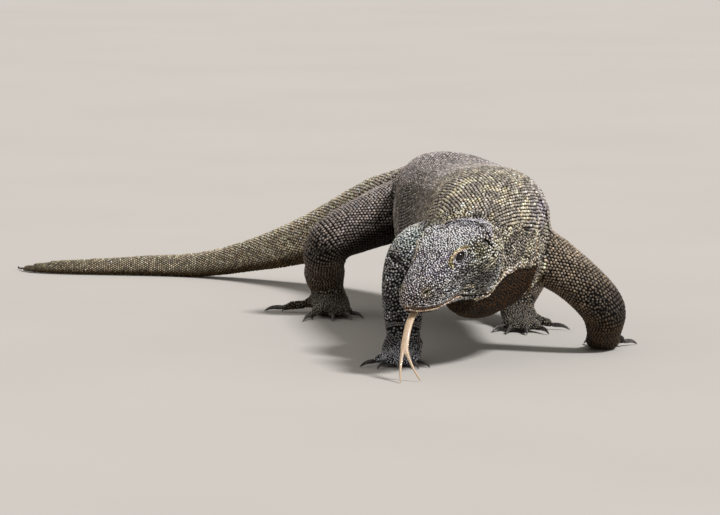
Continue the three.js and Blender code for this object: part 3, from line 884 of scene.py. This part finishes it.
def markings(points, ups, owner, step):
    """The colour of a scale, and of the skin beside it, at each point, with painted shade and painted light
    among the markings.
    """
    head = mirrored(points)
    crowns, gaps = np.zeros((len(points), 3)), np.zeros((len(points), 3))
    for i, name in enumerate(NAMES):
        on = owner == i
        share = step[on] / max(1, len(TUBES[name].points) - 1)
        at, light, dark = zip(*RAMPS[name])
        crowns[on], gaps[on] = between(share, at, tone(light)), between(share, at, tone(dark))
    on_head = owner == 1
    under = eased(-ups[:, 2], 0.0, 0.7)
    limit = np.interp(head[:, 0], *np.transpose(JAW_EDGE))
    below = eased(limit - head[:, 2], -1, 3) * (head[:, 0] > 56)
    edge = np.interp(points[:, 0], *np.transpose(FLAP_RIM)[[0, 2]])
    throat = eased(edge - points[:, 2], -1, 2) * (points[:, 1] < -60) * (owner < 2)
    neck = (owner == 0) * (1 - eased(points[:, 1], -60, 60))
    back = (owner == 0) * eased(points[:, 1], 20, 90) * (1 - eased(points[:, 1], 480, 600))
    to_left = to_head(points)[:, 1] > 0

    def beside(line, width, up=0.0):
        """1 on a line of the head moved up, fading over a width."""
        return near_line(head, to_head(laid(lifted(line, up))), width)

    def head_spot(place, size):
        return on_head * spot(head, place, size)

    # Each covers those before it: soft zones, with painted shade under the body and limbs and painted top
    # light on the back; pale rims, partly painted highlight; then the dark lines of folds and openings, which
    # are painted shade.
    zones = [
        # where the body and limbs face down: their ochre with painted shade
        (under * (owner == 0), BELLY_AND_SHADOW),
        (0.6 * under * (owner > 1), BELLY_AND_SHADOW),
        # painted shade where the legs face down, below the flank
        (eased(-ups[:, 2], -0.35, 0.5) * (owner > 3) * eased(points[:, 2], 70, 110), UNDERSIDE_SHADOW),
        (1.4 * head_spot((60, 50, -20), (36, 22, 26)), SLATE),
        (1.3 * head_spot((96, 44, -18), (34, 16, 15)), SLATE),
        (0.9 * head_spot((96, 44, 4), (30, 12, 12)), SLATE),
        (0.45 * head_spot((150, 30, -4), (24, 12, 12)), SLATE),
        (on_head * 0.45 * patches(points, 60, 3) * eased(head[:, 2], 8, 22), LILAC),
        (0.75 * head_spot((108, 21, 31), (11, 6, 9)), LILAC),
        (0.8 * head_spot((60, 49, 26), (15, 10, 12)) * eased(patches(points, 12, 5), 0.3, 0.6), CREAM),
        (0.95 * spot(head, (29, 54, 12), (10, 12, 11)), CREAM),
        (0.95 * spot(head, (46, 56, -7), (11, 12, 9)), CREAM),
        (neck * 0.7 * eased(patches(points, 34, 11), 0.52, 0.75), CREAM),
        (neck * 0.55 * eased(patches(points, 44, 12), 0.55, 0.8) * (points[:, 2] < 200), SLATE),
        (neck * 0.7 * eased(points[:, 0], 84, 112) * eased(points[:, 2], 180, 220), MAUVE),
        (0.6 * on_head * eased(40 - head[:, 0], 0, 16) * eased(head[:, 2], 10, 24), MAUVE),
        (0.85 * spot(points, (-80, -56, 178), (32, 40, 18)), TEAL),
        # painted top light on the upward-facing back
        (0.3 * back * eased(ups[:, 2], 0.5, 0.95), PAINTED_TOP_LIGHT),
        # the throat's brown with painted shade, under the flap's rim and under the jaw's edge
        (throat, THROAT_AND_SHADOW),
        (below * on_head, THROAT_AND_SHADOW),
        (0.85 * beside(MOUTH[:13], 3.0, -3.4), PINK),
        (0.3 * beside(MOUTH[:12], 2.8, 3.2), PINK),
        # pale rims beside the jaw's and lip's folds: partly their own pale skin, partly painted highlight
        (0.6 * beside(JAW_FOLD, 1.8, -2.6), RIM_AND_HIGHLIGHT),
        (0.6 * beside(JAW_FOLD, 1.8, 4.4), RIM_AND_HIGHLIGHT),
        (0.5 * beside(LIP_FOLD, 2.0, 4.4), RIM_AND_HIGHLIGHT),
        # the flap's pale edge: partly its own colour, partly painted highlight on the lit skin above the
        # throat
        (1.5 * near_line(points, resampled(FLAP) + [0, 0, 2.5], 3.6), RIM_AND_HIGHLIGHT),
        ((0.4 + 0.55 * to_left) * beside(BROW, 3.2), OCHRE),
        (0.9 * head_spot((62, 50, 18), (22, 12, 18)), TEMPLE),
        (on_head * 0.5 * beside(MUZZLE_BAND, 4.0), SLATE),
        (0.8 * head_spot((62, 42, -48), (44, 14, 12)), SLATE),
        # painted shade along the head's folds
        *((dark * beside(line, width), CREASE_SHADOW) for line, _, _, _, dark, width in HEAD_FOLDS if dark),
        (0.8 * (1 - eased(eye_share(head), 1.3, 1.9)), SLATE),
        ((0.3 + 0.6 * to_left) * beside(LID_EDGE, 1.5), PINK),
        (0.5 * spot(head, NOSTRIL, (8, 7, 6)), OCHRE),
        # painted shade in the nostril, the ear, the mouth's line and the eye's opening
        (1 - eased(nostril_share(head), 0.7, 1.05), CREASE_SHADOW),
        (1 - eased(gap_to(head, ear_slit, 5)[0], 1.2, 2.6), CREASE_SHADOW),
        (1 - eased(gap_to(head, mouth, 4)[0], 0.9, 2.0), CREASE_SHADOW),
        (1 - eased(eye_share(head), 0.95, 1.12), CREASE_SHADOW),
        # painted shade along the body's folds
        *((0.85 * near_line(points, laid(fold[0], np.asarray), 2.8), CREASE_SHADOW) for fold in BODY_FOLDS[1:]),
    ]
    for weight, (light, dark) in zones:
        weight = np.clip(weight, 0, 1)[:, None]
        crowns += (light - crowns) * weight
        gaps += (dark - gaps) * weight
    return crowns, gaps


# ---- scales

SIDES = 6
CORNERS = np.arange(SIDES) * 2 * np.pi / SIDES + np.pi / SIDES
CIRCLE = np.stack([np.cos(CORNERS), np.sin(CORNERS)], axis=1)
BEAD = np.vstack([
    np.column_stack([CIRCLE, np.full(SIDES, -0.3)]),
    np.column_stack([CIRCLE * 0.72, np.full(SIDES, 0.72)]),
    [[0, 0, 1]],
])
RING = [(i, (i + 1) % SIDES) for i in range(SIDES)]
BEAD_FACES = np.array(
    [f for i, j in RING for f in ((i, j, SIDES + j), (i, SIDES + j, SIDES + i))]
    + [(SIDES + i, SIDES + j, 2 * SIDES) for i, j in RING]
)
FILL = 0.475  # a scale's half width, as a share of the room it has
HEIGHT = 0.32  # a scale's height, as a share of its smaller size

# On the muzzle's sides and the cheeks the scales are long.
head = mirrored(roots)
long = (owner == 1) * ~ordered * eased(head[:, 1], 24, 40)
long = long * eased(16 - head[:, 2], 0, 14) * eased(head[:, 0], 20, 50)
wide, deep = wide * (1 - 0.2 * long), deep * (1 + 0.5 * long)
swing *= 1 - 0.6 * long
along = unit(lies - (lies * ups).sum(axis=1, keepdims=True) * ups)
across = np.cross(ups, along)
cos, sin = np.cos(swing)[:, None], np.sin(swing)[:, None]
across, along = cos * across + sin * along, cos * along - sin * across
size = np.minimum(wide, deep)
shape = BEAD[None] * np.stack([wide * FILL, deep * FILL, size * HEIGHT], axis=1)[:, None]
beads = (
    roots[:, None]
    + shape[..., 0:1] * across[:, None]
    + shape[..., 1:2] * along[:, None]
    + shape[..., 2:3] * ups[:, None]
)
beads[..., 2] = np.maximum(beads[..., 2], 0)

# Each scale is lightest on its crown and darkest at its rim, partly its own tone and partly painted shade
# between the scales, and no two are quite alike.
light, dark = markings(roots, ups, owner, step)
uneven = np.select([unordered(roots), owner == 1, owner == 0], [0.5, 0.46, 0.36], 0.28)
vary = np.exp(rng.normal(0, 1, len(roots)) * uneven - uneven**2 / 2)
warm = rng.normal(0, 0.035, len(roots))[:, None] * [1, 0.2, -1.2]
crown = np.clip(light * vary[:, None] * (1 + warm), 0, 0.92)
height = np.repeat([0, 0.8, 1], [SIDES, SIDES, 1])
bead_tints = dark[:, None] + (crown - dark)[:, None] * height[None, :, None]

# The unwrap: each centreline's tube cut open under the belly and laid in its own rectangle.
ROOMS = {
    "body": (0.02, 0.02, 0.50, 0.96),
    "head": (0.55, 0.62, 0.43, 0.36),
    "right_arm": (0.55, 0.32, 0.20, 0.27),
    "left_arm": (0.78, 0.32, 0.20, 0.27),
    "right_leg": (0.55, 0.02, 0.20, 0.27),
    "left_leg": (0.78, 0.02, 0.20, 0.27),
}
PATCH = 0.003  # a scale's own patch on it


def unwrapped(points, owner, step):
    """Each point's place on the unwrap."""
    out = np.zeros((len(points), 2))
    for i, name in enumerate(NAMES):
        on, tube = owner == i, TUBES[name]
        at = step[on]
        away = points[on] - tube.points[at]
        angle = np.arctan2((away * tube.side[at]).sum(axis=1), (away * tube.top[at]).sum(axis=1))
        reach = (tube.reach[at] + (away * tube.along[at]).sum(axis=1)) / tube.length
        x, y, w, h = ROOMS[name]
        out[on, 0] = x + w * (0.5 + angle / (2 * np.pi))
        out[on, 1] = y + h * np.clip(reach, 0, 1)
    return out


bake = unwrapped(roots, owner, step)[:, None] + BEAD[None, :, :2] * PATCH / 2


# ---- materials


class Nodes:
    """A node material in the making."""

    def __init__(self, name, **settings):
        self.mat = bpy.data.materials.new(name)
        self.mat.use_nodes = True
        self.tree = self.mat.node_tree
        self.shader = self.tree.nodes["Principled BSDF"]
        for key, value in settings.items():
            self.shader.inputs[key.replace("_", " ")].default_value = value
        self.place = self.add("ShaderNodeTexCoord").outputs["Object"]

    def add(self, kind, **sockets):
        node = self.tree.nodes.new(kind)
        for key, value in sockets.items():
            if hasattr(node, key):
                setattr(node, key, value)
            else:
                node.inputs[key.replace("_", " ").title()].default_value = value
        return node

    def link(self, a, b):
        self.tree.links.new(a, b)

    def noise(self, scale, detail=3.0):
        node = self.add("ShaderNodeTexNoise", Scale=scale, Detail=detail)
        self.link(self.place, node.inputs["Vector"])
        return node.outputs["Fac"]

    def tint(self):
        return self.add("ShaderNodeVertexColor", layer_name="tint").outputs["Color"]

    def ramp(self, value, low, high, start=0.3, end=0.7):
        node = self.add("ShaderNodeMapRange")
        self.link(value, node.inputs["Value"])
        for key, number in (("From Min", start), ("From Max", end), ("To Min", low), ("To Max", high)):
            node.inputs[key].default_value = number
        return node.outputs["Result"]

    def times(self, colour, value):
        """A colour made lighter or darker by a value."""
        node = self.add("ShaderNodeVectorMath", operation="MULTIPLY")
        self.link(colour, node.inputs[0])
        self.link(value, node.inputs[1])
        return node.outputs["Vector"]

    def mix(self, a, b, share):
        node = self.add("ShaderNodeMix", data_type="RGBA")
        for socket, value in ((node.inputs[0], share), (node.inputs[6], a), (node.inputs[7], b)):
            if isinstance(value, bpy.types.NodeSocket):
                self.link(value, socket)
            else:
                socket.default_value = (*value, 1)
        return node.outputs[2]

    def bump(self, height, strength, distance):
        node = self.add("ShaderNodeBump", Strength=strength, Distance=distance)
        self.link(height, node.inputs["Height"])
        self.link(node.outputs["Normal"], self.shader.inputs["Normal"])

    def colour(self, socket):
        self.link(socket, self.shader.inputs["Base Color"])


def floor_material():
    n = Nodes("floor", Roughness=0.9)
    n.colour(n.mix((0.5, 0.47, 0.44), (0.45, 0.423, 0.396), n.noise(1.5)))
    return n.mat


def skin_material():
    n = Nodes("dragon skin", Roughness=0.85, Specular_IOR_Level=0.15)
    n.colour(n.times(n.tint(), n.ramp(n.noise(900.0), 0.75, 1.25)))
    cells = n.add("ShaderNodeTexVoronoi", Scale=700.0)
    n.link(n.place, cells.inputs["Vector"])
    n.bump(cells.outputs["Distance"], 0.5, 0.0006)
    return n.mat


def scale_material():
    n = Nodes("dragon scales", Roughness=0.6, Specular_IOR_Level=0.2)
    dusty = n.times(n.tint(), n.ramp(n.noise(1400.0, 2.0), 0.82, 1.18))
    n.colour(n.times(dusty, n.ramp(n.noise(22.0), 0.88, 1.12)))
    n.bump(n.noise(2600.0, 2.0), 0.35, 0.0003)
    return n.mat


def eye_material():
    n = Nodes("eye", Roughness=0.12, Specular_IOR_Level=0.2, Coat_Weight=0.5, Coat_Roughness=0.03)
    n.colour(n.times(n.tint(), n.ramp(n.noise(1800.0), 0.7, 1.3)))
    return n.mat


def claw_material():
    n = Nodes("claw", Roughness=0.34, Coat_Weight=0.25)
    streak = n.noise(260.0, 4.0)
    n.colour(n.mix(tone((34, 31, 31)), tone((98, 92, 88)), n.ramp(streak, 0, 1, 0.35, 0.75)))
    n.bump(streak, 0.3, 0.0005)
    return n.mat


def tongue_material():
    n = Nodes("tongue", Roughness=0.42, Coat_Weight=0.2, Subsurface_Weight=0.15)
    n.shader.inputs["Subsurface Radius"].default_value = (0.004, 0.002, 0.001)
    grain = n.noise(420.0, 4.0)
    n.colour(n.mix(tone((172, 146, 118)), tone((198, 174, 148)), n.ramp(grain, 0, 1)))
    n.bump(grain, 0.25, 0.0005)
    return n.mat


SKIN, SCALES, BALL = skin_material(), scale_material(), eye_material()
CLAW, TONGUE = claw_material(), tongue_material()

# ---- skin and coat

PIECES = 6
for k in range(PIECES):
    part = beads[k::PIECES]
    faces = (BEAD_FACES[None] + len(BEAD) * np.arange(len(part))[:, None, None]).reshape(-1, 3)
    obj = new_object(f"scales_{k + 1}", part.reshape(-1, 3), faces, SCALES)
    tinted(obj, bead_tints[k::PIECES].reshape(-1, 3))
    layer = obj.data.uv_layers.new(name="OFBake")
    corners = read(obj.data.loops, "vertex_index", np.int32, 1)[:, 0]
    layer.data.foreach_set("uv", bake[k::PIECES].reshape(-1, 2)[corners].astype(np.float32).ravel())
    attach(obj, "root")

skin = new_object("dragon_skin", verts, tris, SKIN)
# The skin's dark tint between the scales: partly its own tone, partly painted shade.
tinted(skin, markings(verts, normals, vertex_owner, vertex_step)[1])
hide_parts(*FLESH)
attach(skin, "root")

# ---- eyes, claws and tongue

PUPIL, IRIS = tone((7, 6, 9)), tone((46, 32, 27))


def eyeball(side):
    """A ball with a domed cornea, its rings closer together round the pupil."""
    rings, turns = 34, 48
    polar = np.pi * (np.arange(1, rings) / rings) ** 1.5
    radius = BALL_RADIUS + DOME * np.clip(1 - (polar / 0.75) ** 2, 0, 1)
    angles = np.arange(turns) * 2 * np.pi / turns
    flat = np.cos(angles)[:, None] * FRONT + np.sin(angles)[:, None] * BROWWARD
    pole, back = EYE + GAZE * (BALL_RADIUS + DOME), EYE - GAZE * BALL_RADIUS
    ahead, out = ((radius * way(polar))[:, None, None] for way in (np.cos, np.sin))
    body = EYE + ahead * GAZE + out * flat
    points = np.vstack([[pole], body.reshape(-1, 3), [back]])
    last = len(points) - 1
    faces = []
    for j in range(turns):
        k = (j + 1) % turns
        faces.append((0, 1 + j, 1 + k))
        faces.append((last, last - turns + k, last - turns + j))
        for i in range(rings - 2):
            a, b = 1 + i * turns, 1 + (i + 1) * turns
            faces += [(a + j, b + j, b + k), (a + j, b + k, a + k)]
    faces = np.array(faces)[:, ::-side]  # the outside out, on either side of the head
    points = from_head(points * [1, side, 1])
    angle = np.concatenate([[0], np.repeat(polar, turns), [np.pi]])
    fibre = np.concatenate([[1], 1 + 0.25 * np.sin(np.tile(angles, rings - 1) * 19), [1]])
    iris = eased(angle, 0.42, 0.5) * (1 - eased(angle, 0.74, 0.84))
    colours = PUPIL + iris[:, None] * fibre[:, None] * (IRIS - PUPIL)
    name = "left" if side > 0 else "right"
    obj = new_object(f"eyeball_{name}", points, faces, BALL)
    tinted(obj, np.clip(colours, 0, 1))
    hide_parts(f"{name}_eye")
    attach(obj, "root")


for side in (1, -1):
    eyeball(side)

THICK_END = 0.004  # metres of a claw's length that its root takes along


def rounded(name, node_name, material, by, root=0.0):
    """A smooth piece over a faceted solid: its mesh, grown and subdivided. The thick end is drawn back by
    root, into the flesh."""
    bm = grown(node_name, by, merged=True)
    if root:
        points = np.array([v.co[:] for v in bm.verts])
        middle = points.mean(axis=0)
        axis = np.linalg.svd(points - middle)[2][0]
        reach = (points - middle) @ axis
        off = lengths(points - middle - reach[:, None] * axis)
        if off[reach > 0].max() < off[reach < 0].max():
            axis, reach = -axis, -reach
        for v, far in zip(bm.verts, reach):
            if far > reach.max() - THICK_END:
                v.co += Vector(axis * root / 1000)
    mesh = bpy.data.meshes.new(name)
    bm.to_mesh(mesh)
    bm.free()
    mesh.materials.append(material)
    obj = placed(name, mesh)
    smooth = obj.modifiers.new("smooth", "SUBSURF")
    smooth.levels = smooth.render_levels = 2
    evaluated = obj.evaluated_get(bpy.context.evaluated_depsgraph_get())
    shaped = bpy.data.meshes.new_from_object(evaluated)
    obj.modifiers.clear()
    obj.data = shaped
    shaped.shade_smooth()
    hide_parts(node_name)
    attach(obj, "root")


for name in sorted(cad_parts):
    if "claw" in name:
        rounded("horn_" + name, name, CLAW, 0.45, 6.0)
rounded("tongue_soft", "tongue", TONGUE, 0.3)

# ---- floor, light and camera

floor_mesh = bpy.data.meshes.new("floor")
floor_mesh.from_pydata([(-30, -12, 0), (30, -12, 0), (30, 40, 0), (-30, 40, 0)], [], [(0, 1, 2, 3)])
floor_mesh.materials.append(floor_material())
floor = placed("floor", floor_mesh)

world = bpy.data.worlds.new("studio")
world.use_nodes = True
sky = world.node_tree.nodes["Background"]
sky.inputs["Color"].default_value = (1.0, 0.97, 0.92, 1)
sky.inputs["Strength"].default_value = 0.46
bpy.context.scene.world = world

lamp = bpy.data.lights.new("overhead", "SUN")
lamp.energy = 3.6
lamp.angle = 0.22
overhead = placed("overhead", lamp)
overhead.rotation_euler = Vector((0.55, -0.35, 0.8)).to_track_quat("Z", "Y").to_euler()

bpy.context.scene.view_settings.view_transform = "Standard"

VIEWPOINT = (-160, -7780, 920)  # far off, as through the photo's long lens
LOOKING_DOWN = 5.711  # degrees
camera = bpy.data.cameras.new("camera")
camera.lens = 262.2
camera.sensor_width = 36
camera.clip_end = 100
view = placed("camera", camera)
view.location = to_row(VIEWPOINT)
view.rotation_euler = (math.radians(90 - LOOKING_DOWN), 0, 0)
bpy.context.scene.camera = view
